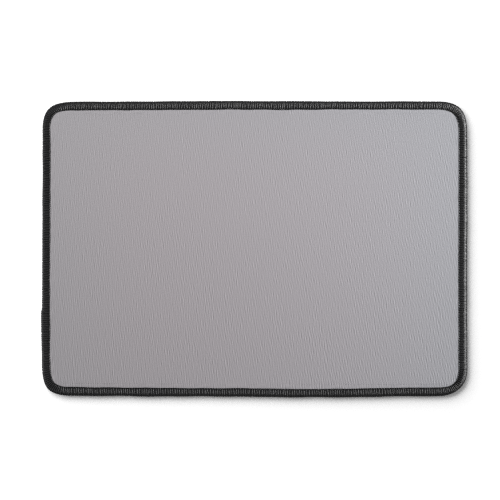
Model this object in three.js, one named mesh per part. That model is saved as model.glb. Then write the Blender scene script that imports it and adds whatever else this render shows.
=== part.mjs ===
// Mouse pad with an overlocked edge. Millimetres, +Z up, base on z = 0, long side along X.
// Four bonded sheets are squeezed together under a stitched rim. Each piece is one closed body.
import * as THREE from "three";
import { ParametricGeometry } from "three/addons/geometries/ParametricGeometry.js";
import {
  mergeGeometries,
  mergeVertices,
} from "three/addons/utils/BufferGeometryUtils.js";

// ---- outline ----------------------------------------------------------------------------------
const LENGTH = 260; // along X, over the stitched rim
const WIDTH = 180; // along Y
const CORNER_RUN = 18.2; // where the corner curve leaves each straight side, from the sharp corner
const CORNER_HANDLE = 12.5; // its tangent length: apex radius about 12, easing into the sides
const CORNER_STEPS = 11; // facets round one corner

// ---- sheets, as heights in the open middle and under the stitches -------------------------------
const MID_Z = [0, 0.6, 2.5, 2.6, 3.0]; // base underside, base/foam, foam/film, film/cloth, cloth top
const RIM_Z = [0.5, 0.95, 2.37, 2.45, 2.8]; // the same faces where the seam squeezes them
const SHEET_EDGE = 0.5; // the sheets' cut edge, inside the outline by the thread's thickness
const ROUND_START = 2.3; // from here out the seam's pull rolls the rim round
const ROUND_STEPS = [0, 0.5, 0.8, 1]; // shares of the way from there to the cut edge
const RIM_END = 5.1; // the squeezed part reaches this far in
const MID_START = 6.5; // and the full thickness starts here

// ---- stitched rim ------------------------------------------------------------------------------
const THREAD_TOP = 3.3; // top of the upper looper thread
const LOCK_Z = THREAD_TOP / 2; // the two looper threads lock here, half way up the side
const LOOPER_IN = 4.4; // inner reach of the looper threads
const NEEDLE_IN = 5.05; // inner side of the needle thread's line
const NEEDLE_OUT = 4.45; // outer side of it
const NEEDLE_TOP = 3.13;

// ---- where the seam starts and finishes, the rim is sewn twice and stands out a little -----------
const LAP_OUT = 0.6; // most that it stands out
const LAP_FROM = -36; // along the left side
const LAP_FULL = -40;
const LAP_EASE = -47;
const LAP_END = -66;
const LAP_Y = [-36, -38, -40, -43.5, -47, -52, -57, -62, -66];

// The outline, counter-clockwise from the lower left: straight sides joined by eased corners.
function outline() {
  const x = LENGTH / 2,
    y = WIDTH / 2,
    r = CORNER_RUN,
    k = CORNER_RUN - CORNER_HANDLE;
  const s = new THREE.Shape();
  s.moveTo(-x + r, -y);
  s.lineTo(x - r, -y);
  s.bezierCurveTo(x - k, -y, x, -y + k, x, -y + r);
  s.lineTo(x, y - r);
  s.bezierCurveTo(x, y - k, x - k, y, x - r, y);
  s.lineTo(-x + r, y);
  s.bezierCurveTo(-x + k, y, -x, y - k, -x, y - r);
  for (const at of LAP_Y) s.lineTo(-x, at);
  s.lineTo(-x, -y + r);
  s.bezierCurveTo(-x, -y + k, -x + k, -y, -x + r, -y);
  const points = s.getPoints(CORNER_STEPS);
  if (points[0].distanceTo(points[points.length - 1]) < 1e-6) points.pop();
  return points;
}

const RING = outline();
const COUNT = RING.length;

// For each outline point, the inward step that moves both sides that meet there by one millimetre.
const INWARD = RING.map((p, i) => {
  const a = RING[(i + COUNT - 1) % COUNT],
    b = RING[(i + 1) % COUNT];
  const e = new THREE.Vector2().subVectors(p, a).normalize();
  const f = new THREE.Vector2().subVectors(b, p).normalize();
  const n = new THREE.Vector2(-e.y, e.x),
    m = new THREE.Vector2(-f.y, f.x);
  return n
    .clone()
    .add(m)
    .divideScalar(1 + n.dot(m));
});

// How far the doubled stretch of seam stands out at outline point i.
function lap(i) {
  const p = RING[i];
  if (Math.abs(p.x + LENGTH / 2) > 1e-6) return 0;
  if (p.y >= LAP_FROM || p.y <= LAP_END) return 0;
  if (p.y > LAP_FULL)
    return LAP_OUT * THREE.MathUtils.smoothstep(-p.y, -LAP_FROM, -LAP_FULL);
  return LAP_OUT * (1 - THREE.MathUtils.smoothstep(-p.y, -LAP_EASE, -LAP_END));
}

// A point d inside outline point i, at height z; grow is its share of the doubled seam's bulge.
function place(i, [d, z, grow = 0], target) {
  const at = d - grow * lap(i);
  target.set(RING[i].x + INWARD[i].x * at, RING[i].y + INWARD[i].y * at, z);
}

function bare(geometry) {
  geometry.deleteAttribute("normal");
  geometry.deleteAttribute("uv");
  return mergeVertices(geometry, 1e-5);
}

// The surface that a run of section points sweeps round the outline.
function sweep(section, closed) {
  const spans = closed ? section.length : section.length - 1;
  return new ParametricGeometry(
    (u, v, target) => {
      const i = Math.round(u * COUNT) % COUNT,
        k = Math.round(v * spans) % section.length;
      place(i, section[k], target);
    },
    COUNT,
    spans,
  );
}

// A closed ring: the section polygon, counter-clockwise with d to the right and z up, swept round.
function ring(section) {
  return bare(sweep(section, true));
}

// The flat middle of a sheet, d inside the outline at height z, facing up or down.
function cap(d, z, up) {
  const shape = new THREE.Shape(
    RING.map((_, i) => {
      const p = new THREE.Vector3();
      place(i, [d, z], p);
      return new THREE.Vector2(p.x, p.y);
    }),
  );
  const g = new THREE.ShapeGeometry(shape);
  g.translate(0, 0, z);
  if (!up) {
    const ix = g.index;
    for (let i = 0; i < ix.count; i += 3) {
      const b = ix.getX(i + 1);
      ix.setX(i + 1, ix.getX(i + 2));
      ix.setX(i + 2, b);
    }
  }
  return g;
}

// Height of a face of the stack in the rolled part of the rim, u = 1 at the cut edge: both outer faces
// close to half of the rim's thickness.
function rolled(level, u) {
  return LOCK_Z + (RIM_Z[level] - LOCK_Z) * Math.sqrt(1 - 0.75 * u * u);
}

function rolledRun(level) {
  return ROUND_STEPS.map((u) => [
    THREE.MathUtils.lerp(ROUND_START, SHEET_EDGE, u),
    rolled(level, u),
  ]);
}

// One face of the sheet stack, from the open middle out to the cut edge.
function face(level) {
  const run = [];
  for (let k = 0; k <= 4; k++) {
    const t = k / 4,
      d = THREE.MathUtils.lerp(MID_START, RIM_END, t);
    const z = THREE.MathUtils.lerp(
      MID_Z[level],
      RIM_Z[level],
      THREE.MathUtils.smoothstep(t, 0, 1),
    );
    run.push([d, z]);
  }
  return [...run, ...rolledRun(level)];
}

// A sheet between two faces of the stack.
function sheet(level) {
  const top = face(level + 1),
    under = face(level).reverse();
  const rim = sweep([...under.reverse(), ...top.reverse()], false);
  return bare(
    mergeGeometries(
      [
        rim.toNonIndexed(),
        cap(MID_START, MID_Z[level + 1], true).toNonIndexed(),
        cap(MID_START, MID_Z[level], false).toNonIndexed(),
      ].map((g) => {
        g.deleteAttribute("normal");
        g.deleteAttribute("uv");
        return g;
      }),
    ),
  );
}

// The looper thread's outer side in the rolled part: a quarter of an ellipse down to the outline.
function brow(degrees, grow) {
  const a = THREE.MathUtils.degToRad(degrees);
  return [
    ROUND_START * (1 - Math.sin(a)),
    LOCK_Z + (THREAD_TOP - LOCK_Z) * Math.cos(a),
    grow,
  ];
}

// Upper looper: over the cloth's margin and half way down the cut edge.
const UPPER = [
  [SHEET_EDGE, LOCK_Z],
  ...rolledRun(4).reverse(),
  [LOOPER_IN - 0.05, RIM_Z[4]],
  [LOOPER_IN, 2.95],
  [LOOPER_IN - 0.2, 3.2],
  [LOOPER_IN - 0.6, THREAD_TOP],
  [ROUND_START, THREAD_TOP],
  brow(28, 0.4),
  brow(48, 0.8),
  brow(66, 1),
  brow(80, 1),
  [0, LOCK_Z, 1],
];

// Lower looper: the same below, flat where it lies on the table.
const LOWER = UPPER.map(([d, z, grow]) => [
  d,
  THREAD_TOP - z,
  grow ?? 0,
]).reverse();

// Needle thread: one line of stitches on the cloth, just inside the looper.
const NEEDLE = [
  [NEEDLE_OUT + 0.03, RIM_Z[4]],
  [NEEDLE_IN - 0.03, RIM_Z[4]],
  [NEEDLE_IN, 2.95],
  [NEEDLE_IN - 0.1, 3.08],
  [(NEEDLE_IN + NEEDLE_OUT) / 2, NEEDLE_TOP],
  [NEEDLE_OUT + 0.1, 3.08],
  [NEEDLE_OUT, 2.95],
];

const group = new THREE.Group();
group.name = "mouse_pad";

function volume(g) {
  const p = g.attributes.position,
    a = new THREE.Vector3(),
    b = new THREE.Vector3(),
    c = new THREE.Vector3();
  let v = 0;
  for (let i = 0; i < g.index.count; i += 3) {
    a.fromBufferAttribute(p, g.index.getX(i));
    b.fromBufferAttribute(p, g.index.getX(i + 1));
    c.fromBufferAttribute(p, g.index.getX(i + 2));
    v += a.dot(b.cross(c)) / 6;
  }
  return v;
}

function add(name, geometry, color, roughness) {
  if (volume(geometry) < 0) {
    const ix = geometry.index;
    for (let i = 0; i < ix.count; i += 3) {
      const b = ix.getX(i + 1);
      ix.setX(i + 1, ix.getX(i + 2));
      ix.setX(i + 2, b);
    }
  }
  geometry.computeVertexNormals();
  const mesh = new THREE.Mesh(
    geometry,
    new THREE.MeshStandardMaterial({ color, roughness, metalness: 0 }),
  );
  mesh.name = name;
  group.add(mesh);
}

add("grip_base", sheet(0), "#1c1c1d", 0.85);
add("foam_core", sheet(1), "#29292a", 0.95);
add("laminating_film", sheet(2), "#c9c6bd", 0.6);
add("surface_cloth", sheet(3), "#a39fa3", 0.95);
add("needle_thread", ring(NEEDLE), "#232324", 0.7);
add("upper_looper_thread", ring(UPPER), "#2b2b2c", 0.7);
add("lower_looper_thread", ring(LOWER), "#262627", 0.7);

export default group;
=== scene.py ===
import math

import bpy
import numpy as np
from mathutils import Euler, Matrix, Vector
from mathutils.geometry import delaunay_2d_cdt


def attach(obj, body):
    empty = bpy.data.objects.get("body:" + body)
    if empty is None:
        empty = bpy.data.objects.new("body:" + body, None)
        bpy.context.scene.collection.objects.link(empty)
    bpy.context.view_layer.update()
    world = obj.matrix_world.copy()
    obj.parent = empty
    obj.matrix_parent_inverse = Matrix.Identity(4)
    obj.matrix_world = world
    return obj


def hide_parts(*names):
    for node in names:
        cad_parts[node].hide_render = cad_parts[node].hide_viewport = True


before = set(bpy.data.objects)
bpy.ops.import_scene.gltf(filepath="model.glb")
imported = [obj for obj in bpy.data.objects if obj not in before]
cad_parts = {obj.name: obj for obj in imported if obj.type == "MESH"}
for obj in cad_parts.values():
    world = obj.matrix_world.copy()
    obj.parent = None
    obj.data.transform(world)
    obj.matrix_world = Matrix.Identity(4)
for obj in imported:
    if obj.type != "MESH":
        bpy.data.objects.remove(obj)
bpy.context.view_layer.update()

# All sizes below are millimetres, until make() writes the vertices in metres.
LENGTH, WIDTH = 260.0, 180.0
RUN, HANDLE = 18.2, 12.5
STITCH = 1.44
MID_Z = (0.0, 0.6, 2.5, 2.6, 3.0)
RIM_Z = (0.5, 0.95, 2.37, 2.45, 2.8)
EDGE, ROUND_START, RIM_END, MID_START = 0.5, 2.3, 5.1, 6.5
LOCK_Z = 1.65


# ---- outline ------------------------------------------------------------------------------------
def dense_outline(step=0.05):
    """The pad's outline, counter-clockwise from the left end of the near side."""
    x, y, r, k = LENGTH / 2, WIDTH / 2, RUN, RUN - HANDLE

    def line(a, b):
        n = int(math.dist(a, b) / step)
        t = np.linspace(0, 1, n, endpoint=False)[:, None]
        return (1 - t) * np.array(a) + t * np.array(b)

    def bend(a, b, c, d):
        t = np.linspace(0, 1, int(27 / step), endpoint=False)[:, None]
        a, b, c, d = (np.array(v) for v in (a, b, c, d))
        return (
            (1 - t) ** 3 * a
            + 3 * (1 - t) ** 2 * t * b
            + 3 * (1 - t) * t**2 * c
            + t**3 * d
        )

    return np.concatenate(
        [
            line((-x + r, -y), (x - r, -y)),
            bend((x - r, -y), (x - k, -y), (x, -y + k), (x, -y + r)),
            line((x, -y + r), (x, y - r)),
            bend((x, y - r), (x, y - k), (x - k, y), (x - r, y)),
            line((x - r, y), (-x + r, y)),
            bend((-x + r, y), (-x + k, y), (-x, y - k), (-x, y - r)),
            line((-x, y - r), (-x, -y + r)),
            bend((-x, -y + r), (-x, -y + k), (-x + k, -y), (-x + r, -y)),
        ]
    )


OUT = dense_outline()
OUT = np.concatenate([OUT, OUT[:1]])
ARC = np.concatenate([[0], np.cumsum(np.linalg.norm(np.diff(OUT, axis=0), axis=1))])
PERIMETER = float(ARC[-1])
TAN = np.roll(OUT[:-1], -1, 0) - np.roll(OUT[:-1], 1, 0)
TAN /= np.linalg.norm(TAN, axis=1)[:, None]
INW = np.stack([-TAN[:, 1], TAN[:, 0]], 1)
INW = np.concatenate([INW, INW[:1]])
STITCHES = int(round(PERIMETER / STITCH))
PITCH = PERIMETER / STITCHES


def frame_at(s):
    s = np.mod(s, PERIMETER)
    nx, ny = np.interp(s, ARC, INW[:, 0]), np.interp(s, ARC, INW[:, 1])
    length = np.hypot(nx, ny)
    return (
        np.interp(s, ARC, OUT[:, 0]),
        np.interp(s, ARC, OUT[:, 1]),
        nx / length,
        ny / length,
    )


def place(s, d, z):
    """Points d inside the outline at arc length s and height z."""
    px, py, nx, ny = frame_at(s)
    return np.stack([px + nx * d, py + ny * d, z + 0 * px], -1)


def ease(a, b, v):
    t = np.clip((v - a) / (b - a), 0, 1)
    return t * t * (3 - 2 * t)


def wander(s, longest, shortest, seed):
    """A smooth closed wander along the edge, with a spread of 1."""
    r = np.random.default_rng(seed)
    k = np.arange(
        max(1, int(PERIMETER / longest)), int(PERIMETER / shortest) + 1, dtype=float
    )
    a, ph = r.normal(size=len(k)), r.uniform(0, 2 * np.pi, len(k))
    w = np.cos(2 * np.pi * np.outer(np.ravel(s), k) / PERIMETER + ph) @ a
    return (w / np.sqrt((a**2).sum() / 2)).reshape(np.shape(s))


def field(x, y, cell_x, cell_y, seed):
    """A smooth random field over the pad, with a spread of about 1."""
    r = np.random.default_rng(seed)
    gx, gy = (x + 140) / cell_x, (y + 100) / cell_y
    lattice = r.normal(size=(int(290 / cell_x) + 4, int(210 / cell_y) + 4))
    ix, iy = np.floor(gx).astype(int), np.floor(gy).astype(int)
    fx, fy = gx - ix, gy - iy
    fx, fy = (f * f * f * (f * (f * 6 - 15) + 10) for f in (fx, fy))
    return (
        lattice[ix, iy] * (1 - fx) * (1 - fy)
        + lattice[ix + 1, iy] * fx * (1 - fy)
        + lattice[ix, iy + 1] * (1 - fx) * fy
        + lattice[ix + 1, iy + 1] * fx * fy
    ) * 1.5


def lap(s):
    """How far the doubled stretch, where the seam starts and finishes, stands out of the left side."""
    px, py, nx, _ = frame_at(s)
    on_left = nx > 0.995
    return (
        np.where(on_left, 0.6, 0.0)
        * ease(-36, -40, py)
        * (1 - ease(-47, -66, py))
    )


# ---- meshes -------------------------------------------------------------------------------------
def make(name, verts, faces, uvs=None, smooth=True):
    me = bpy.data.meshes.new(name)
    me.from_pydata(
        (np.asarray(verts) * 0.001).tolist(),
        [],
        [list(map(int, f)) for f in faces],
    )
    for uv_name, uv in (uvs or {}).items():
        layer = me.uv_layers.new(name=uv_name)
        layer.data.foreach_set("uv", np.asarray(uv, np.float32).ravel())
    me.update()
    if smooth:
        me.shade_smooth()
    o = bpy.data.objects.new(name, me)
    bpy.context.scene.collection.objects.link(o)
    return o


def unit(v):
    return v / np.maximum(np.linalg.norm(v, axis=-1, keepdims=True), 1e-12)


def tube(path, up, wide, thick, sides, closed):
    """A flattened tube along path: vertices, faces, and per face corner its length and turn."""
    n = len(path)
    tang = (
        np.roll(path, -1, 0) - np.roll(path, 1, 0)
        if closed
        else np.gradient(path, axis=0)
    )
    tang = unit(tang)
    side = unit(np.cross(tang, up))
    top = np.cross(side, tang)
    a = 2 * np.pi * (np.arange(sides) + 0.5) / sides
    verts = (
        path[:, None]
        + side[:, None] * (wide / 2)[:, None, None] * np.cos(a)[None, :, None]
        + top[:, None] * (thick / 2)[:, None, None] * np.sin(a)[None, :, None]
    ).reshape(-1, 3)
    step = np.linalg.norm(np.diff(np.concatenate([path, path[:1]]), axis=0), axis=1)
    at = np.concatenate([[0], np.cumsum(step)])
    i, j = np.meshgrid(
        np.arange(n if closed else n - 1), np.arange(sides), indexing="ij"
    )
    i2, j2 = (i + 1) % n, (j + 1) % sides
    quads = np.stack(
        [i * sides + j, i2 * sides + j, i2 * sides + j2, i * sides + j2], -1
    ).reshape(-1, 4)
    run = np.stack([at[i], at[i + 1], at[i + 1], at[i]], -1).reshape(-1, 4)
    turn = np.stack([j, j, j + 1, j + 1], -1).reshape(-1, 4) / sides
    if not closed:  # two quads close each end of a six-sided tube
        for ring, order in ((0, (0, 1, 2, 3, 0, 3, 4, 5)), (n - 1, (0, 5, 4, 3, 0, 3, 2, 1))):
            end = np.array(order).reshape(2, 4)
            quads = np.concatenate([quads, ring * sides + end])
            run = np.concatenate([run, np.full((2, 4), at[ring])])
            turn = np.concatenate([turn, end / sides])
    return verts, quads, run, turn


def thread_piece(name, tubes, beds, sides):
    """Tubes of thread and the bed under them as one piece, with a map along the thread and one for baking."""
    verts, faces, fibre, bake, count = [], [], [], [], 0
    total = sum(float(t[2].max()) for t in tubes)
    rows = max(4, int(math.sqrt(total / 2.6)))
    row_run = total / rows
    done = 0.0
    for v, q, run, turn in tubes:
        verts.append(v)
        faces.append(q + count)
        count += len(v)
        fibre.append(np.stack([run, turn], -1).reshape(-1, 2))
        along = run + done
        row = np.floor(along[:, :1] / row_run)
        u = (along - row * row_run) / (row_run * 1.03)
        w = 0.9 * (row + 0.06 + 0.88 * turn) / (rows + 2)
        bake.append(np.stack([u, w], -1).reshape(-1, 2))
        done += float(run.max())
    for k, (v, q, run, turn) in enumerate(beds):
        verts.append(v)
        faces.append(q + count)
        count += len(v)
        fibre.append(np.stack([run, turn], -1).reshape(-1, 2))
        u = 0.005 + 0.98 * run / run.max()
        w = 0.91 + 0.08 * (k + 0.05 + 0.9 * turn) / len(beds)
        bake.append(np.stack([u, w], -1).reshape(-1, 2))
    return make(
        name,
        np.concatenate(verts),
        np.concatenate(faces),
        {"OFBake": np.concatenate(bake), "fibre": np.concatenate(fibre)},
    )


def sweep_ring(section, stations, short=0.0):
    """A closed ring with the section (d, z) polygon, turned so that it faces out. Along the left and right
    sides it ends short of its inner points."""
    s = np.arange(stations) * PERIMETER / stations
    m = len(section)
    less = short * frame_at(s)[2] ** 2
    verts = np.stack([place(s, sewn(s, d - less * (d > 4)), z) for d, z in section], 1).reshape(-1, 3)
    i, j = np.meshgrid(np.arange(stations), np.arange(m), indexing="ij")
    i2, j2 = (i + 1) % stations, (j + 1) % m
    quads = np.stack([i * m + j, i2 * m + j, i2 * m + j2, i * m + j2], -1).reshape(
        -1, 4
    )
    run = np.stack([i, i + 1, i + 1, i], -1).reshape(-1, 4) * PERIMETER / stations
    turn = np.stack([j, j, j + 1, j + 1], -1).reshape(-1, 4) / m
    return verts, quads, run, turn


# ---- overlock seam ------------------------------------------------------------------------------
NEEDLE_D = 4.72


# Where the needle line strays: for each side and corner, counter-clockwise from the near side, the share
# of the way along it and how much deeper than usual the line runs there.
STRAY = [
    [(0.03, 0.31), (0.10, 0.18), (0.19, -0.12), (0.50, -0.10), (0.60, -0.31), (0.68, -0.43), (0.76, -0.18), (0.84, 0.31), (0.91, 0.55), (0.96, 0.82)],
    [(0.08, 0.86), (0.20, 0.73), (0.35, 0.43), (0.50, 0.18), (0.65, 0.0)],
    [(0.1, 0.0), (0.6, 0.12), (0.8, -0.12)],
    [(0.5, 0.0)],
    [(0.16, 0.08), (0.24, -0.09), (0.40, 0.04), (0.68, 0.0), (0.80, 0.26), (0.90, 0.12), (0.97, 0.30)],
    [(0.08, 0.37), (0.20, 0.31), (0.35, -0.12), (0.50, -0.24), (0.65, -0.37), (0.92, -0.31)],
    [(0.05, 0.03), (0.20, 0.14), (0.45, 0.0), (0.68, -0.12), (0.80, 0.08), (0.95, 0.06)],
    [(0.08, 0.30), (0.20, 0.18), (0.35, 0.0), (0.50, -0.18), (0.65, -0.06), (0.80, 0.18), (0.92, 0.31)],
]
LONG, SHORT = LENGTH - 2 * RUN, WIDTH - 2 * RUN
BEND = (PERIMETER - 2 * LONG - 2 * SHORT) / 4
STRETCH = np.array([LONG, BEND, SHORT, BEND, LONG, BEND, SHORT, BEND])
STRAY_AT = np.array(
    [start + share * run for start, run, row in zip(np.cumsum(STRETCH) - STRETCH, STRETCH, STRAY) for share, _ in row]
)
STRAY_BY = np.array([deep for row in STRAY for _, deep in row])


def margin(s):
    """The needle line's own wander: the rim is sewn a little wider on the right than on the left."""
    _, _, nx, _ = frame_at(s)
    stray = np.interp(np.mod(s, PERIMETER), STRAY_AT, STRAY_BY, period=PERIMETER)
    return 0.57 * np.clip(-nx, 0, 1) + 0.06 * np.clip(nx, 0, 1) + 0.07 * wander(s, 120, 18, 3) + stray


# How far the sewn rim bows out of the straight outline, at places along each side.
BOW = {
    "far": ([-98, -64, -27, 9, 46, 86], [0.20, 0.30, 0.62, 0.46, 0.20, 0.16]),
    "near": ([-98, -64, -27, 9, 46, 86, 112], [0.30, 0.58, 0.42, 0.58, 0.74, 0.05, -0.35]),
    "left": ([-67, -53, -40, -23, 2, 33, 62, 77], [0.07, 0.12, 0.18, 0.12, 0.20, 0.0, 0.08, 0.45]),
    "right": ([-60, -28, 2, 33, 62], [0.12, 0.0, 0.0, 0.20, 0.0]),
}
# and how much fuller its corners are sewn: far left, near left, near right, far right
FULL = (0.45, 0.86, -0.33, 0.28)


def grow(s):
    """How far the whole rim stands out of the outline."""
    px, py, nx, ny = frame_at(s)
    out = (
        np.interp(px, *BOW["far"]) * np.clip(-ny, 0, 1) ** 2
        + np.interp(px, *BOW["near"]) * np.clip(ny, 0, 1) ** 2
        + np.interp(py, *BOW["left"]) * np.clip(nx, 0, 1) ** 2
        + np.interp(py, *BOW["right"]) * np.clip(-nx, 0, 1) ** 2
    )
    turn = (2 * nx * ny) ** 2
    for full, sx, sy in zip(FULL, (1, 1, -1, -1), (-1, 1, 1, -1)):
        out = out + np.where((nx * sx > 0) & (ny * sy > 0), full * turn, 0.0)
    return out


def pulled(s, d):
    """Depth d, moved out with the rim: fully at the cut edge, not at all inside the needle line."""
    return d - ease(4.9, 1.2, d) * grow(s)


def brim(s):
    """The rim's outer line: it wanders a little, and stands out where the seam is doubled."""
    return 0.07 * wander(s, 160, 22, 4) - lap(s) - 0.13


def sewn(s, d):
    """Depth d in the seam, between the needle line and the rim as they wander."""
    q = np.clip((4.84 - d) / 4.6, 0, 1)
    return pulled(s, d + 0 * s) + (1 - q) * margin(s) + q * brim(s)


def over(deg, reach, rise, wide, thick):
    """A point of thread on the rolled rim: deg round it from its top, with the strand's facing."""
    a = math.radians(deg)
    tilt = math.degrees(math.atan2(math.sin(a) * rise, math.cos(a) * reach))
    return (
        0.21 + reach * (1 - math.sin(a)),
        LOCK_Z + rise * math.cos(a),
        90 - tilt,
        wide,
        thick,
    )


# One stitch of the upper looper: inside the outline, height, facing (90 up, 0 out), width and
# thickness. It leaves the needle line, crosses the margin nearly square to the edge, rolls over the
# rim, locks half way down and comes back lower, between this stitch and the next.
OUTWARD = [
    (4.84, 2.69, 116, 0.34, 0.28),
    (4.42, 2.93, 112, 0.42, 0.32),
    (4.00, 3.09, 102, 0.52, 0.36),
    (3.50, 3.17, 94, 0.61, 0.38),
    (2.90, 3.19, 90, 0.65, 0.38),
    over(8, 2.15, 1.55, 0.66, 0.38),
    over(30, 2.15, 1.55, 0.65, 0.38),
    over(50, 2.15, 1.54, 0.60, 0.38),
    over(68, 2.15, 1.52, 0.50, 0.36),
    over(83, 2.15, 1.50, 0.44, 0.34),
]
LOCK = [(0.19, 1.48, -4, 0.46, 0.36), (0.18, 1.46, -8, 0.46, 0.36), (0.24, 1.48, -6, 0.46, 0.34)]
BACK = [
    over(80, 2.04, 1.38, 0.48, 0.33),
    over(62, 2.10, 1.38, 0.50, 0.33),
    over(43, 2.13, 1.38, 0.50, 0.33),
    over(20, 2.15, 1.37, 0.50, 0.33),
    (2.60, 3.00, 90, 0.50, 0.33),
    (3.30, 2.98, 92, 0.50, 0.32),
    (4.20, 2.88, 98, 0.46, 0.29),
    (4.64, 2.78, 102, 0.38, 0.26),
]
SLANT, RETURN = 0.06, 0.08
LOOP = np.array(
    [(SLANT * (4.84 - row[0]), *row) for row in OUTWARD]
    + [(0.36 + 0.09 * i, *row) for i, row in enumerate(LOCK)]
    + [(1.0 - RETURN * (4.84 - row[0]), *row) for row in BACK]
)


def pace(s):
    """Where along the edge a stitch falls that should be at s: the stitches are a little uneven in length."""
    return s + 0.14 * PITCH * wander(s, 60, 10, 21)


def looper(first, count, seed, lift=0.0, out=0.0, under=False, shift=0.0, closed=True):
    """Path, facing, width and thickness of count stitches of looper thread."""
    r = np.random.default_rng(seed)
    k = len(LOOP)
    tau, d0, z0, th, w0, t0 = LOOP.T
    i = (first + np.arange(count))[:, None]
    wrap = np.arange(count)
    nxt = (wrap + 1) % count if closed else np.minimum(wrap + 1, count - 1)
    back = np.arange(k) >= len(OUTWARD) + 2
    a, b = r.normal(0, 0.11, count), r.normal(0, 0.13, count)
    inner = r.normal(0, 0.06, count)
    raised = r.normal(0, 0.02, count)
    plump = 1 + r.normal(0, 0.11, count)
    roll = np.tan(np.radians(np.clip(r.normal(0, 5, count), -12, 12)))[:, None]
    q = np.clip((4.84 - d0) / 4.6, 0, 1)[None]
    near = np.where(back[None], a[nxt][:, None], a[:, None])
    reach = np.where(back[None], inner[nxt][:, None], inner[:, None])
    s = pace(PITCH * (i + shift + tau[None] + (1 - q) * near + q * b[:, None]))
    d = sewn(s, d0[None]) + (1 - q) * reach - q * out
    z = z0[None] + (raised[:, None] + lift) * np.sin(np.radians(np.clip(th, 0, 90)))[None]
    wide = w0[None] * plump[:, None] + 0 * s
    thick = t0[None] + 0 * s
    if under:
        thick = thick * np.where(th[None] > 60, 0.62, 0.9)
        z = np.maximum(3.3 - z, np.hypot(thick, wide * np.sin(np.arctan(roll))) / 2 + 0.01)
        th = -th
    _, _, nx, ny = frame_at(s)
    c, v = np.cos(np.radians(th))[None] + 0 * s, np.sin(np.radians(th))[None] + 0 * s
    up = np.stack([-nx * c + ny * roll, -ny * c - nx * roll, v], -1)
    path = place(s, d, z)
    return (
        path.reshape(-1, 3),
        up.reshape(-1, 3),
        wide.ravel(),
        thick.ravel(),
    )


def looper_tube(*a, sides=6, closed=True, **k):
    p, up, wide, thick = looper(*a, closed=closed, **k)
    return tube(p, up, wide, thick, sides, closed)


def rolled(z, d):
    """Height at depth d of a face of the stack that is at z under the stitches."""
    u = np.clip((ROUND_START - d) / (ROUND_START - EDGE), 0, 1)
    return LOCK_Z + (z - LOCK_Z) * np.sqrt(1 - 0.75 * u * u)


# The thread lying deep between the strands, as a thin layer on the sheets' margin and cut edge.
TOP = 2.806
UPPER_BED = (
    [(0.495, 1.63), (0.32, 1.63), (0.34, 2.16)]
    + [(d - o, rolled(TOP, d) + h) for d, o, h in ((0.62, 0.10, 0.08), (0.95, 0.05, 0.09), (1.45, 0.03, 0.09), (2.30, 0, 0.09))]
    + [(3.60, TOP + 0.07), (4.56, TOP + 0.03), (4.60, TOP)]
    + [(d, rolled(TOP, d)) for d in (2.30, 1.45, 0.95, 0.62)]
    + [(0.495, rolled(TOP, 0.5))]
)
LOWER_BED = [(d, 3.3 - z) for d, z in UPPER_BED][::-1]

lap_at = PERIMETER - ARC[np.argmin(np.abs(OUT[:-1, 0] + 130) + np.abs(OUT[:-1, 1] + 36))]
lap_first = int((PERIMETER - lap_at) / PITCH)
upper = thread_piece(
    "overlock_upper_looper",
    [
        looper_tube(0, STITCHES, 11),
        looper_tube(lap_first, 19, 12, lift=0.2, out=0.12, shift=0.5, closed=False),
    ],
    [sweep_ring(UPPER_BED, 700, 0.24)],
    6,
)
lower = thread_piece(
    "overlock_lower_looper",
    [looper_tube(0, STITCHES, 13, under=True, shift=0.5)],
    [sweep_ring(LOWER_BED, 700)],
    6,
)


def needle_tube():
    """A row of straight stitches that dips into the cloth at each needle hole."""
    m = 7
    t = np.arange(m) / m
    i = np.arange(STITCHES)[:, None]
    s = pace(PITCH * (i + t[None] + 0.03))
    r = np.random.default_rng(17)
    sway = np.interp(
        (s / PITCH) % STITCHES, np.arange(STITCHES + 1), np.resize(r.normal(0, 0.035, STITCHES), STITCHES + 1)
    )
    d = NEEDLE_D + margin(s) + sway
    rise = np.sin(np.pi * t) ** 0.6
    z = 2.80 + 0.22 * rise[None] + 0 * s
    wide = 0.30 + 0.16 * rise[None] + 0 * s
    thick = 0.28 + 0.08 * rise[None] + 0 * s
    up = np.zeros(s.shape + (3,))
    up[..., 2] = 1
    return tube(
        place(s, d, z).reshape(-1, 3),
        up.reshape(-1, 3),
        wide.ravel(),
        thick.ravel(),
        6,
        True,
    )


needle = thread_piece("overlock_needle_thread", [needle_tube()], [], 6)


def paint_thread_shade(piece, deep):
    """Marks painted shade on the looper thread at each point, from its depth in the seam: the thread's colour is
    painted darker and its gloss weaker, most at the needle line and where it turns down over the edge along the long
    sides, and round the corners on the left and the near right one."""
    at = np.empty(len(piece.data.vertices) * 3)
    piece.data.vertices.foreach_get("co", at)
    x, y = at.reshape(-1, 3)[:, :2].T * 1000
    right, side = np.maximum(x - LENGTH / 2 + RUN, 0), np.maximum(np.abs(x) - LENGTH / 2 + RUN, 1e-6)
    end = np.maximum(np.abs(y) - WIDTH / 2 + RUN, 0)
    long = end**2 / (side**2 + end**2)
    # painted shade: how much darker and less glossy the thread is painted at this depth
    painted_shade = (0.2 + 0.36 * long) * ease(3.5, 4.3, deep) + (0.65 + 0.23 * (y > 0)) * ease(1.15, 0.6, deep) * long
    bend = 2 * side * end / (side**2 + end**2)
    painted_shade += 0.5 * ease(1.9, 1.0, deep) * bend * (x < 0)
    painted_shade += 0.65 * ease(0.9, 1.6, deep) * bend * (right / np.hypot(side, end)) * (y < 0)
    painted_shade = np.minimum(painted_shade, 0.9)
    marks = piece.data.attributes.new("painted_shade", "FLOAT", "POINT")
    marks.data.foreach_set("value", painted_shade.astype(np.float32))


def strand_depth(count):
    return np.repeat(np.tile(LOOP[:, 1], count), 6)


def bed_depth(section):
    return np.tile([d for d, _ in section], 700)


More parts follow.
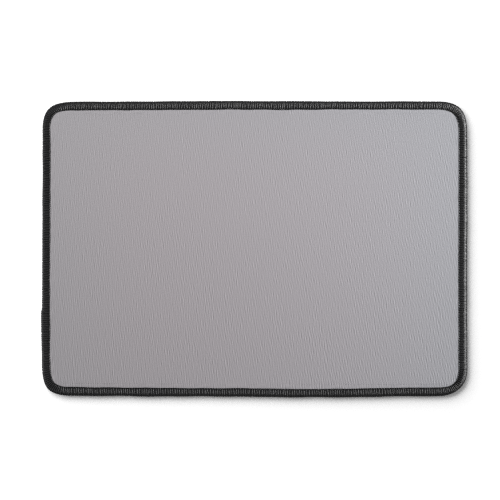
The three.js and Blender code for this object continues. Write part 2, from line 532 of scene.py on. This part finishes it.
paint_thread_shade(upper, np.concatenate([strand_depth(STITCHES), strand_depth(19), bed_depth(UPPER_BED)]))
paint_thread_shade(lower, np.concatenate([strand_depth(STITCHES), bed_depth(LOWER_BED)]))


# ---- sheets -------------------------------------------------------------------------------------
def stack_z(level, d):
    """Height of a face of the sheet stack at depth d inside the outline."""
    z = MID_Z[level] + (RIM_Z[level] - MID_Z[level]) * ease(MID_START, RIM_END, d)
    return np.where(d < ROUND_START, rolled(RIM_Z[level], d), z)


def inside_curve(d):
    """The outline moved in by d, as a closed dense curve with its arc lengths on the outline."""
    return OUT[:-1] + INW[:-1] * d, ARC[:-1]


def grid(d, columns, rows, corner_rows):
    """A grid that fills the outline moved in by d: rows along X, each as long as the outline is there."""
    curve, _ = inside_curve(d)
    right = curve[curve[:, 0] >= 0]
    right = right[np.argsort(right[:, 1], kind="stable")]
    high = WIDTH / 2 - d
    bend = RUN - d + 1.0
    turn = np.linspace(0, np.pi / 2, corner_rows)
    top = high - bend * (1 - np.sin(turn))
    middle = np.linspace(-(high - bend), high - bend, rows)
    y = np.concatenate([-top[::-1], middle[1:-1], top])
    flat = LENGTH / 2 - RUN
    edge = np.interp(y, right[:, 1], right[:, 0])
    on_end = np.abs(np.abs(y) - high) < 1e-6
    edge[on_end] = flat
    t = np.linspace(-1, 1, columns)
    x = t[None] * edge[:, None]
    return x, np.repeat(y[:, None], columns, 1)


def rings(d_ring, stations, height):
    """Rows of points along the edge, from the cut edge in, and the strips between them."""
    s = np.arange(stations) * PERIMETER / stations
    verts = []
    for d in d_ring:
        p = place(s, pulled(s, d), 0.0)
        p[:, 2] = height(p[:, 0], p[:, 1], d + 0 * s, s)
        verts.append(p)
    j = np.arange(stations)
    j2 = (j + 1) % stations
    faces = [
        np.stack([a * stations + j, a * stations + j2, (a + 1) * stations + j2, (a + 1) * stations + j], -1)
        for a in range(len(d_ring) - 1)
    ]
    return np.concatenate(verts), np.concatenate(faces).tolist(), s


def fill(d_ring, stations, d_grid, columns, rows, corner_rows, height):
    """One face of a sheet: rings of points along the edge, then a grid in the middle, zipped together.
    height(x, y, d, s) gives z. The first points are the outermost ring."""
    verts, faces, s = rings(d_ring, stations, height)
    gx, gy = grid(d_grid, columns, rows, corner_rows)
    n_rows = len(gx)
    base = len(verts)
    gp = np.stack([gx, gy, 0 * gx], -1).reshape(-1, 3)
    gp[:, 2] = height(gp[:, 0], gp[:, 1], 20 + 0 * gp[:, 0], None)
    verts = np.concatenate([verts, gp])
    r, c = np.meshgrid(np.arange(n_rows - 1), np.arange(columns - 1), indexing="ij")
    k = base + r * columns + c
    faces += np.stack([k, k + 1, k + columns + 1, k + columns], -1).reshape(-1, 4).tolist()
    loop = np.concatenate(
        [
            base + np.arange(columns),
            base + np.arange(1, n_rows) * columns + columns - 1,
            base + (n_rows - 1) * columns + np.arange(columns - 2, -1, -1),
            base + np.arange(n_rows - 2, 0, -1) * columns,
        ]
    )
    curve, arc = inside_curve(d_grid)
    at = np.empty(len(loop))
    for q in range(0, len(loop), 256):
        part = verts[loop[q : q + 256], :2]
        near = ((part[:, None] - curve[None, ::4]) ** 2).sum(-1).argmin(1)
        at[q : q + 256] = arc[::4][near]
    order = np.argsort(at, kind="stable")
    loop, at = loop[order], at[order]
    ring = (len(d_ring) - 1) * stations + np.arange(stations)
    a = b = 0
    while a < len(ring) or b < len(loop):
        next_a = s[a + 1] if a + 1 < len(s) else PERIMETER + (s[0] if a + 1 == len(s) else 1e9)
        next_b = at[b + 1] if b + 1 < len(at) else PERIMETER + (at[0] if b + 1 == len(at) else 1e9)
        if a < len(ring) and (next_a <= next_b or b >= len(loop)):
            faces.append(
                [ring[a % len(ring)], ring[(a + 1) % len(ring)], loop[b % len(loop)]]
            )
            a += 1
        elif b < len(loop):
            faces.append(
                [ring[a % len(ring)], loop[(b + 1) % len(loop)], loop[b % len(loop)]]
            )
            b += 1
    return verts, faces


def close(top, under, stations, belly=()):
    """A closed sheet from its two faces, joined round the cut edge. belly gives rows (share of the way
    from top to under, how far the edge stands out there)."""
    tv, tf = top
    uv, uf = under
    verts = [tv, uv]
    faces = [list(f) for f in tf] + [[i + len(tv) for i in f[::-1]] for f in uf]
    rows = [np.arange(stations)]
    count = len(tv) + len(uv)
    s = np.arange(stations) * PERIMETER / stations
    _, _, nx, ny = frame_at(s)
    for share, out in belly:
        p = (1 - share) * tv[:stations] + share * uv[:stations]
        p = p - np.stack([nx, ny, 0 * nx], -1) * out
        verts.append(p)
        rows.append(count + np.arange(stations))
        count += stations
    rows.append(len(tv) + np.arange(stations))
    j = np.arange(stations)
    j2 = (j + 1) % stations
    for a, b in zip(rows, rows[1:]):
        faces += np.stack([b[j], b[j2], a[j2], a[j]], -1).tolist()
    return np.concatenate(verts), faces


def flat_map(verts, faces, faces_up):
    """The bake's map: the sheet's upper face from above, and under it the lower face and the edge."""
    x, y = (verts[:, 0] + 131.5) / 263, (verts[:, 1] + 91.5) / 263
    upper = np.stack([0.004 + 0.992 * x, 0.30 + 0.992 * y], -1)
    lower = np.stack([0.004 + 0.40 * x, 0.004 + 0.40 * y], -1)
    return np.concatenate(
        [(upper if i < faces_up else lower)[f] for i, f in enumerate(faces)]
    )


# ---- the cloth's ribs ---------------------------------------------------------------------------
CROSS, BROAD = 0.40, 0.22


def phases(x, y):
    """The cloth's ribs as phases in turns, and how marked they are. The ribs lean a little and fan out to
    the right, and a coarser and a broader set cross them, which breaks them into short strokes."""
    sway = 0.05 * field(x, y, 17, 23, 31)
    main = 0.7054 * x + 0.1056 * y - 1.656e-4 * x * x + 2.668e-4 * x * y + 3.1e-5 * y * y + sway
    cross = 1.2245 * x - main + 0.05 * field(x, y, 19, 15, 32)
    broad = main - 0.408 * x
    marked = (0.97 + 0.0009 * x - 0.0026 * y) * (1 + 0.12 * np.clip(field(x, y, 11, 14, 33), -2, 2))
    return main, cross, broad, marked


def rib(x, y):
    """Height of the ribs, about -1 in the valleys to 1 on the crests."""
    main, cross, broad, marked = phases(x, y)
    turn = 2 * np.pi
    return marked * (np.cos(turn * main) + CROSS * np.cos(turn * cross) + BROAD * np.cos(turn * broad))


RIB_H = 0.05


def depth(x, y):
    """How far points are inside the outline, exact to 12 mm in and 20 further in."""
    d = np.full(len(x), 20.0)
    near = np.flatnonzero((np.abs(x) > LENGTH / 2 - 13) | (np.abs(y) > WIDTH / 2 - 13))
    p, line = np.stack([x, y], -1), OUT[:-1:12]
    for k in range(0, len(near), 512):
        part = near[k : k + 512]
        d[part] = np.sqrt(((p[part][:, None] - line[None]) ** 2).sum(-1).min(1))
    return d


def cloth_z(x, y, d, s):
    if s is None:
        d = depth(x, y)
    sunk, dip = d, 0.04
    if s is not None:  # pulled down furthest on the right and least on the near side
        _, _, nx, ny = frame_at(s)
        sunk = d - margin(s) * ease(2.3, 4.4, d)
        dip = 0.04 + 0.06 * np.clip(-nx, 0, 1) - 0.025 * np.clip(ny, 0, 1)
    z = MID_Z[4] - dip * ease(6.2, 4.9, sunk) - (0.20 - dip) * ease(4.95, 4.35, sunk)
    z = np.where(d < ROUND_START, rolled(RIM_Z[4], d), z)
    show = ease(4.4, 5.6, d)
    z = z + 0.5 * RIB_H * rib(x, y) * show
    if s is not None:
        hole = np.mod((2 * s - pace(s)) / PITCH, 1.0)
        hole = np.minimum(hole, 1 - hole) * PITCH
        z = z - 0.10 * np.exp(-((hole / 0.34) ** 2) - (((d - NEEDLE_D - margin(s)) / 0.5) ** 2))
        z = z + 0.035 * wander(s, 40, 7, 8) * np.exp(-(((d - 6.0) / 1.2) ** 2))
    return z


def level(k, gap=0.0):
    return lambda x, y, d, s: stack_z(k, np.minimum(d, 20)) + gap


EDGE_RINGS = [EDGE + 0.02, 0.86, 1.4, 2.3, 5.1, 5.45, 5.8, 6.15, 6.5]
GAP = 0.015

cloth_top = fill(
    [EDGE + 0.02, 1.1, 2.3, 3.9, 4.45, 4.7, 4.95, 5.2, 5.5, 5.85, 6.3, 7.0],
    STITCHES * 3,
    7.3,
    620,
    94,
    9,
    cloth_z,
)
cloth_under = fill([EDGE + 0.02, 2.3, 5.1, 6.5], STITCHES * 3, 8.0, 24, 12, 5, level(3, GAP))
cloth_v, cloth_f = close(cloth_top, cloth_under, STITCHES * 3)
cloth = make(
    "surface_cloth_ribbed",
    cloth_v,
    cloth_f,
    {"OFBake": flat_map(cloth_v, cloth_f, len(cloth_top[1]))},
)
for part, values in zip(("rib_main", "rib_cross", "rib_broad", "rib_marked"), phases(cloth_v[:, 0], cloth_v[:, 1])):
    ribs = cloth.data.attributes.new(part, "FLOAT", "POINT")
    ribs.data.foreach_set("value", values.astype(np.float32))
outer = 1 - np.exp(-((cloth_v[:, 0] / 115) ** 4) - ((cloth_v[:, 1] + 12) / 95) ** 4)
border = cloth.data.attributes.new("border", "FLOAT", "POINT")
border.data.foreach_set("value", outer.astype(np.float32))

film_top = fill(EDGE_RINGS, STITCHES, 8.0, 40, 24, 6, level(3))
film_under = fill(EDGE_RINGS, STITCHES, 8.0, 40, 24, 6, level(2, GAP))
film_v, film_f = close(film_top, film_under, STITCHES)
film = make(
    "laminating_film_sheet", film_v, film_f, {"OFBake": flat_map(film_v, film_f, len(film_top[1]))}
)


def foam_edge(k, gap):
    def height(x, y, d, s):
        z = stack_z(k, np.minimum(d, 20)) + gap
        if s is not None:  # squeezed unevenly between the stitches
            z = z - np.sign(k - 1.5) * 0.012 * (1 + np.cos(2 * np.pi * s / PITCH)) * ease(3.0, 0.9, d)
        return z

    return height


foam_rings = [0.58] + EDGE_RINGS[1:]
foam_top = fill(foam_rings, STITCHES * 2, 8.0, 60, 36, 6, foam_edge(2, 0.0))
foam_under = fill(foam_rings, STITCHES * 2, 8.0, 60, 36, 6, foam_edge(1, GAP))
foam_v, foam_f = close(foam_top, foam_under, STITCHES * 2, [(0.2, 0.045), (0.5, 0.07), (0.8, 0.045)])
foam = make(
    "foam_core_pad", foam_v, foam_f, {"OFBake": flat_map(foam_v, foam_f, len(foam_top[1]))}
)

# ---- the grip base, with square lands between shallow grooves underneath ---------------------------
LAND, GROOVE, SLOPE, DEEP = 3.2, 0.5, 0.22, 0.2


def lines(half):
    """The pattern's lines across half the sheet and its mirror image, with the groove's depth at each."""
    n = int(half / LAND)
    at, deep = [], []
    for k in range(-n, n + 1):
        for off, h in ((-GROOVE / 2 - SLOPE, 0), (-GROOVE / 2, 1), (GROOVE / 2, 1), (GROOVE / 2 + SLOPE, 0)):
            at.append(k * LAND + off)
            deep.append(h)
    return np.array(at), np.array(deep, float)


def base_under():
    """The underside: rings round the rim, the patterned middle, and a plain border between them."""
    d_ring = EDGE_RINGS + [7.4]
    verts, faces, _ = rings(d_ring, STITCHES, level(0, 0.0))
    border = (len(d_ring) - 1) * STITCHES + np.arange(STITCHES)
    (lx, hx), (ly, hy) = lines(LENGTH / 2 - 9), lines(WIDTH / 2 - 9)
    corner_x, corner_y = LENGTH / 2 - RUN, WIDTH / 2 - RUN
    mx, my = np.meshgrid(lx, ly, indexing="ij")
    far = np.hypot(np.maximum(np.abs(mx) - corner_x, 0), np.maximum(np.abs(my) - corner_y, 0))
    inside = (far < RUN - 8.2) & (np.abs(mx) < LENGTH / 2 - 8.2) & (np.abs(my) < WIDTH / 2 - 8.2)
    cell = inside[:-1, :-1] & inside[1:, :-1] & inside[:-1, 1:] & inside[1:, 1:]
    # whole squares of four by four cells, so that the border follows the lands
    nx, ny = (len(lx) - 1) // 4, (len(ly) - 1) // 4
    for i in range(nx):
        for j in range(ny):
            block = cell[4 * i : 4 * i + 4, 4 * j : 4 * j + 4]
            block[:] = block.all()
    cell[4 * nx :] = False
    cell[:, 4 * ny :] = False
    used = np.zeros(mx.shape, bool)
    for i, j in ((0, 0), (1, 0), (0, 1), (1, 1)):
        used[i : i + cell.shape[0], j : j + cell.shape[1]] |= cell
    number = np.full(mx.shape, -1)
    number[used] = len(verts) + np.arange(used.sum())
    depth = DEEP * np.maximum(hx[:, None], hy[None, :])
    # the outermost row of the pattern is plain, so that its grooves end in the border
    inner = np.ones(mx.shape, bool)
    padded = np.pad(cell, 1)
    for i, j in ((0, 0), (1, 0), (0, 1), (1, 1)):
        inner &= padded[i : i + mx.shape[0], j : j + mx.shape[1]]
    depth = np.where(inner, depth, 0.0)
    pattern = np.stack([mx[used], my[used], depth[used]], -1)
    ci, cj = np.nonzero(cell)
    quads = np.stack([number[ci, cj], number[ci + 1, cj], number[ci + 1, cj + 1], number[ci, cj + 1]], -1)
    all_verts = np.concatenate([verts, pattern])
    # the border: the sheet's ring outside, the pattern's edge inside
    edge_count = {}
    for q in quads:
        for a, b in zip(q, np.roll(q, -1)):
            key = (min(a, b), max(a, b))
            edge_count[key] = edge_count.get(key, 0) + 1
    rim = [k for k, n in edge_count.items() if n == 1]
    ids = list(border) + sorted({v for e in rim for v in e})
    local = {v: i for i, v in enumerate(ids)}
    pts = [Vector(all_verts[v, :2]) for v in ids]
    edges = [(local[a], local[b]) for a, b in rim]
    edges += [(i, (i + 1) % STITCHES) for i in range(STITCHES)]
    out = delaunay_2d_cdt(pts, edges, [], 1, 1e-6)
    back = [ids[o[0]] for o in out[3]]
    strip = []
    for tri in out[2]:
        mid = sum((out[0][i] for i in tri), Vector((0, 0))) / len(tri)
        i, j = np.searchsorted(lx, mid.x) - 1, np.searchsorted(ly, mid.y) - 1
        if 0 <= i < cell.shape[0] and 0 <= j < cell.shape[1] and cell[i, j]:
            continue
        a, b, c = (all_verts[back[i], :2] for i in tri)
        turn = (b[0] - a[0]) * (c[1] - a[1]) - (b[1] - a[1]) * (c[0] - a[0])
        strip.append([back[i] for i in (tri if turn > 0 else tri[::-1])])
    return all_verts, faces + quads.tolist() + strip


base_top = fill(EDGE_RINGS, STITCHES, 8.0, 40, 24, 6, level(1))
base_v, base_f = close(base_top, base_under(), STITCHES)
base = make(
    "grip_base_embossed", base_v, base_f, {"OFBake": flat_map(base_v, base_f, 0)}, smooth=False
)


# ---- materials ----------------------------------------------------------------------------------
def material(name, colour, roughness, specular=0.5, sheen=0.0, sheen_rough=0.5, sheen_tint=(1, 1, 1)):
    m = bpy.data.materials.new(name)
    m.use_nodes = True
    p = m.node_tree.nodes["Principled BSDF"]
    p.inputs["Base Color"].default_value = (*colour, 1)
    p.inputs["Roughness"].default_value = roughness
    p.inputs["Specular IOR Level"].default_value = specular
    p.inputs["Sheen Weight"].default_value = sheen
    p.inputs["Sheen Roughness"].default_value = sheen_rough
    p.inputs["Sheen Tint"].default_value = (*sheen_tint, 1)
    return m, m.node_tree, p


def node(tree, kind, **inputs):
    n = tree.nodes.new(kind)
    for key, value in inputs.items():
        n.inputs[key.replace("_", " ")].default_value = value
    return n


def two_tones(t, p, fac, dark, light):
    """Base colour between two tones, by fac."""
    tone = node(t, "ShaderNodeMix")
    tone.data_type = "RGBA"
    tone.inputs[6].default_value = (*dark, 1)
    tone.inputs[7].default_value = (*light, 1)
    t.links.new(fac, tone.inputs[0])
    t.links.new(tone.outputs[2], p.inputs["Base Color"])


def stretched(t, texture, scale):
    """The texture in the object's own millimetres, stretched by scale."""
    where = node(t, "ShaderNodeTexCoord")
    m = node(t, "ShaderNodeMapping")
    m.inputs["Scale"].default_value = scale
    t.links.new(where.outputs["Object"], m.inputs["Vector"])
    t.links.new(m.outputs["Vector"], texture.inputs["Vector"])


def sum_of(t, a, b, plus):
    """a * b + plus, each a number or an output of a node."""
    n = node(t, "ShaderNodeMath")
    n.operation = "MULTIPLY_ADD"
    for k, v in enumerate((a, b, plus)):
        if isinstance(v, (int, float)):
            n.inputs[k].default_value = v
        else:
            t.links.new(v, n.inputs[k])
    return n.outputs[0]


def thread_material(name, colour, light, roughness, shine):
    """Twisted thread with a soft lustre, painted darker and duller where its attribute marks painted shade."""
    m, t, p = material(name, colour, roughness, shine, 0.02, 0.4)
    uv = node(t, "ShaderNodeUVMap")
    uv.uv_map = "fibre"
    ply = node(t, "ShaderNodeTexWave", Scale=1.0, Distortion=0.35, Detail=1.0)
    ply.wave_type, ply.bands_direction = "BANDS", "DIAGONAL"
    place_it = node(t, "ShaderNodeMapping")
    place_it.inputs["Scale"].default_value = (0.55, 0.9549, 1)
    t.links.new(uv.outputs["UV"], place_it.inputs["Vector"])
    t.links.new(place_it.outputs["Vector"], ply.inputs["Vector"])
    bump = node(t, "ShaderNodeBump", Strength=0.15, Distance=0.00006)
    t.links.new(ply.outputs["Fac"], bump.inputs["Height"])
    t.links.new(bump.outputs["Normal"], p.inputs["Normal"])
    lint = node(t, "ShaderNodeTexNoise", Scale=1.0, Detail=2.0)
    stretched(t, lint, (420, 420, 420))
    painted_shade = node(t, "ShaderNodeAttribute")
    painted_shade.attribute_name = "painted_shade"
    unshaded = sum_of(t, painted_shade.outputs["Fac"], -1.0, 1.0)
    # painted shade: where the thread is marked as shaded, its gloss and its colour are lowered
    t.links.new(sum_of(t, unshaded, shine, 0.0), p.inputs["Specular IOR Level"])
    two_tones(t, p, sum_of(t, lint.outputs["Fac"], unshaded, sum_of(t, unshaded, 0.5, -0.5)), colour, light)
    return m


LOOPER = thread_material("black_looper_thread", (0.0080, 0.0080, 0.0084), (0.0165, 0.0165, 0.0174), 0.25, 0.28)
NEEDLE = thread_material("black_needle_thread", (0.0070, 0.0070, 0.0074), (0.0140, 0.0140, 0.0148), 0.30, 0.30)
for o, thread in ((upper, LOOPER), (lower, LOOPER), (needle, NEEDLE)):
    o.data.materials.append(thread)

# The cloth's tone follows its ribs; uneven yarn makes each rib come and go and shifts it to one flank.
CLOTH_TONE = np.array((0.1964, 0.1785, 0.1850))
RIB_TONE, UNEVEN = 0.135, 0.75
cloth_mat, t, p = material("grey_ribbed_cloth", tuple(CLOTH_TONE), 0.92, 0.2, 0.08, 0.45)


def phase(part, kind):
    """Sine or cosine of one of the cloth's phases."""
    at, turned = node(t, "ShaderNodeAttribute"), node(t, "ShaderNodeMath")
    at.attribute_name = part
    turned.operation = kind
    t.links.new(sum_of(t, at.outputs["Fac"], 2 * math.pi, 0.0), turned.inputs[0])
    return turned.outputs[0]


marked = node(t, "ShaderNodeAttribute")
marked.attribute_name = "rib_marked"
crest = sum_of(t, phase("rib_broad", "COSINE"), BROAD, sum_of(t, phase("rib_cross", "COSINE"), CROSS, phase("rib_main", "COSINE")))
crest = sum_of(t, crest, marked.outputs["Fac"], 0.0)
flank = sum_of(t, phase("rib_main", "SINE"), marked.outputs["Fac"], 0.0)
slub = node(t, "ShaderNodeTexNoise", Scale=1.0, Detail=0.0)
stretched(t, slub, (330, 230, 330))
parts = node(t, "ShaderNodeSeparateXYZ")
t.links.new(slub.outputs["Color"], parts.inputs[0])
come = sum_of(t, parts.outputs[0], UNEVEN, RIB_TONE - 0.5 * UNEVEN)
shift = sum_of(t, parts.outputs[1], UNEVEN, -0.5 * UNEVEN)
tone = sum_of(t, crest, come, 0.5)
tone = sum_of(t, flank, shift, tone)
two_tones(t, p, tone, tuple(CLOTH_TONE * 0.75), tuple(CLOTH_TONE * 1.25))
# and its colour is painted a trace cooler towards the border, a painted cool cast of light
painted_cool_cast, near_border = node(t, "ShaderNodeMix"), node(t, "ShaderNodeAttribute")
painted_cool_cast.data_type, painted_cool_cast.blend_type = "RGBA", "MULTIPLY"
painted_cool_cast.inputs[7].default_value = (0.949, 1, 1, 1)
near_border.attribute_name = "border"
t.links.new(near_border.outputs["Fac"], painted_cool_cast.inputs[0])
t.links.new(p.inputs["Base Color"].links[0].from_socket, painted_cool_cast.inputs[6])
t.links.new(painted_cool_cast.outputs[2], p.inputs["Base Color"])
yarn = node(t, "ShaderNodeTexVoronoi", Scale=1.0)
stretched(t, yarn, (2600, 1430, 2600))
fine = node(t, "ShaderNodeBump", Strength=0.25, Distance=0.00004)
t.links.new(yarn.outputs["Distance"], fine.inputs["Height"])
t.links.new(fine.outputs["Normal"], p.inputs["Normal"])
cloth.data.materials.append(cloth_mat)

film_mat, t, p = material("cream_laminating_film", (0.58, 0.56, 0.51), 0.5, 0.5)
cloud = node(t, "ShaderNodeTexNoise", Scale=1.0, Detail=3.0)
stretched(t, cloud, (60, 60, 60))
two_tones(t, p, cloud.outputs["Fac"], (0.5, 0.48, 0.43), (0.64, 0.62, 0.57))
film.data.materials.append(film_mat)

foam_mat, t, p = material("dark_sponge_rubber", (0.022, 0.022, 0.023), 0.95, 0.3)
pores = node(t, "ShaderNodeTexVoronoi", Scale=1.0)
stretched(t, pores, (2200, 2200, 2200))
two_tones(t, p, pores.outputs["Distance"], (0.010, 0.010, 0.0105), (0.036, 0.036, 0.037))
pit = node(t, "ShaderNodeBump", Strength=0.6, Distance=0.0001)
t.links.new(pores.outputs["Distance"], pit.inputs["Height"])
t.links.new(pit.outputs["Normal"], p.inputs["Normal"])
foam.data.materials.append(foam_mat)

base_mat, t, p = material("black_grip_rubber", (0.012, 0.012, 0.013), 0.8, 0.4)
skin = node(t, "ShaderNodeTexNoise", Scale=1.0, Detail=4.0)
stretched(t, skin, (900, 900, 900))
two_tones(t, p, skin.outputs["Fac"], (0.007, 0.007, 0.0075), (0.019, 0.019, 0.020))
rough = node(t, "ShaderNodeBump", Strength=0.3, Distance=0.00005)
t.links.new(skin.outputs["Fac"], rough.inputs["Height"])
t.links.new(rough.outputs["Normal"], p.inputs["Normal"])
base.data.materials.append(base_mat)

# ---- how the pieces stand for the frame's nodes ---------------------------------------------------
for piece, name in (
    (cloth, "surface_cloth"),
    (film, "laminating_film"),
    (foam, "foam_core"),
    (base, "grip_base"),
    (upper, "upper_looper_thread"),
    (lower, "lower_looper_thread"),
    (needle, "needle_thread"),
):
    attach(piece, "root")
    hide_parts(name)

# ---- floor, light and camera ---------------------------------------------------------------------
floor_me = bpy.data.meshes.new("floor")
around = np.arange(96) * 2 * np.pi / 96
floor_me.from_pydata(
    np.stack([1.5 * np.cos(around), 1.5 * np.sin(around), 0 * around - 0.00002], -1).tolist(), [], [list(range(96))]
)
floor = bpy.data.objects.new("floor", floor_me)
bpy.context.scene.collection.objects.link(floor)
floor_mat, _, _ = material("pale_floor", (0.9, 0.9, 0.9), 0.9, 0.0)
floor_me.materials.append(floor_mat)


def group(name, pieces):
    c = bpy.data.collections.new(name)
    for o in pieces:
        c.objects.link(o)
    return c


SHEETS = group("sheets", (cloth, film, foam, base))
STAGE = group("stage", (floor,))
THREADS = group("threads", (upper, lower, needle))


def softbox(name, at, aim, wide, high, watts, diffuse=True, glossy=True, only=None, tint=(1, 1, 1)):
    lamp = bpy.data.lights.new(name, "AREA")
    lamp.shape = "RECTANGLE"
    lamp.size, lamp.size_y = wide, high
    lamp.energy = watts
    lamp.color = tint
    o = bpy.data.objects.new(name, lamp)
    o.location = at
    o.rotation_euler = (Vector(aim) - Vector(at)).to_track_quat("-Z", "Y").to_euler()
    o.visible_camera, o.visible_diffuse, o.visible_glossy = False, diffuse, glossy
    if only:
        o.light_linking.receiver_collection = only
    bpy.context.scene.collection.objects.link(o)
    return o


softbox("key_left", (-1.874, 2.057, 1.269), (0, 0, 0), 4.914, 2.68, 302.8, glossy=False)
softbox("near_right", (0.227, 0.047, 0.20), (0.06, 0.019, 0), 0.317, 0.123, 0.491, glossy=False, only=SHEETS, tint=(0.78, 1.0, 1.09))
softbox("near_top", (0.015, 0.109, 0.20), (0.006, 0.033, 0), 0.482, 0.123, 0.431, glossy=False, only=SHEETS)
softbox("lustre_far", (0.52, 0.34, 0.35), (0.05, 0.05, 0), 0.34, 0.48, 6.4, diffuse=False, only=THREADS)
softbox("lustre_right", (0.52, 0.11, 0.35), (0.05, 0, 0), 0.2, 0.34, 4.6, diffuse=False, only=THREADS)
softbox("lustre_near", (0.52, -0.115, 0.35), (0.05, -0.05, 0), 0.34, 0.48, 6.0, diffuse=False, only=THREADS)
softbox("lustre_left", (-0.55, -0.20, 0.26), (0, -0.09, 0), 0.3, 0.34, 0.9, diffuse=False, only=THREADS)

# behind it, facing away from the pad: keeps the floor pale on the side that the key light hardly reaches
softbox("far_floor", (0.46, -0.46, 0.75), (1.556, -1.556, 0), 3.0, 0.7, 16.0, glossy=False, only=STAGE)

world = bpy.data.worlds.new("studio")
bpy.context.scene.world = world
world.use_nodes = True
w = world.node_tree
fill_light = w.nodes["Background"]
fill_light.inputs["Color"].default_value = (1, 1, 1, 1)
fill_light.inputs["Strength"].default_value = 0.3754
backdrop = w.nodes.new("ShaderNodeBackground")
backdrop.inputs["Color"].default_value = (1, 1, 1, 1)
backdrop.inputs["Strength"].default_value = 1.0
path = w.nodes.new("ShaderNodeLightPath")
either = w.nodes.new("ShaderNodeMixShader")
w.links.new(path.outputs["Is Camera Ray"], either.inputs[0])
w.links.new(fill_light.outputs[0], either.inputs[1])
w.links.new(backdrop.outputs[0], either.inputs[2])
w.links.new(either.outputs[0], w.nodes["World Output"].inputs["Surface"])

cam_data = bpy.data.cameras.new("camera")
cam_data.lens, cam_data.sensor_width = 85.0, 36.0
cam_data.clip_start, cam_data.clip_end = 0.01, 50.0
cam = bpy.data.objects.new("camera", cam_data)
cam.location = (0.01222, -0.00565, 0.72459)
cam.rotation_euler = Euler([math.radians(v) for v in (0.3901, 1.1637, 0.0831)], "XYZ")
bpy.context.scene.collection.objects.link(cam)
bpy.context.scene.camera = cam
bpy.context.scene.view_settings.view_transform = "Standard"
bpy.context.scene.view_settings.look = "None"
bpy.context.scene.cycles.use_denoising = False  # it smears the cloth's grain and the strands
bpy.context.scene.cycles.filter_width = 1.15
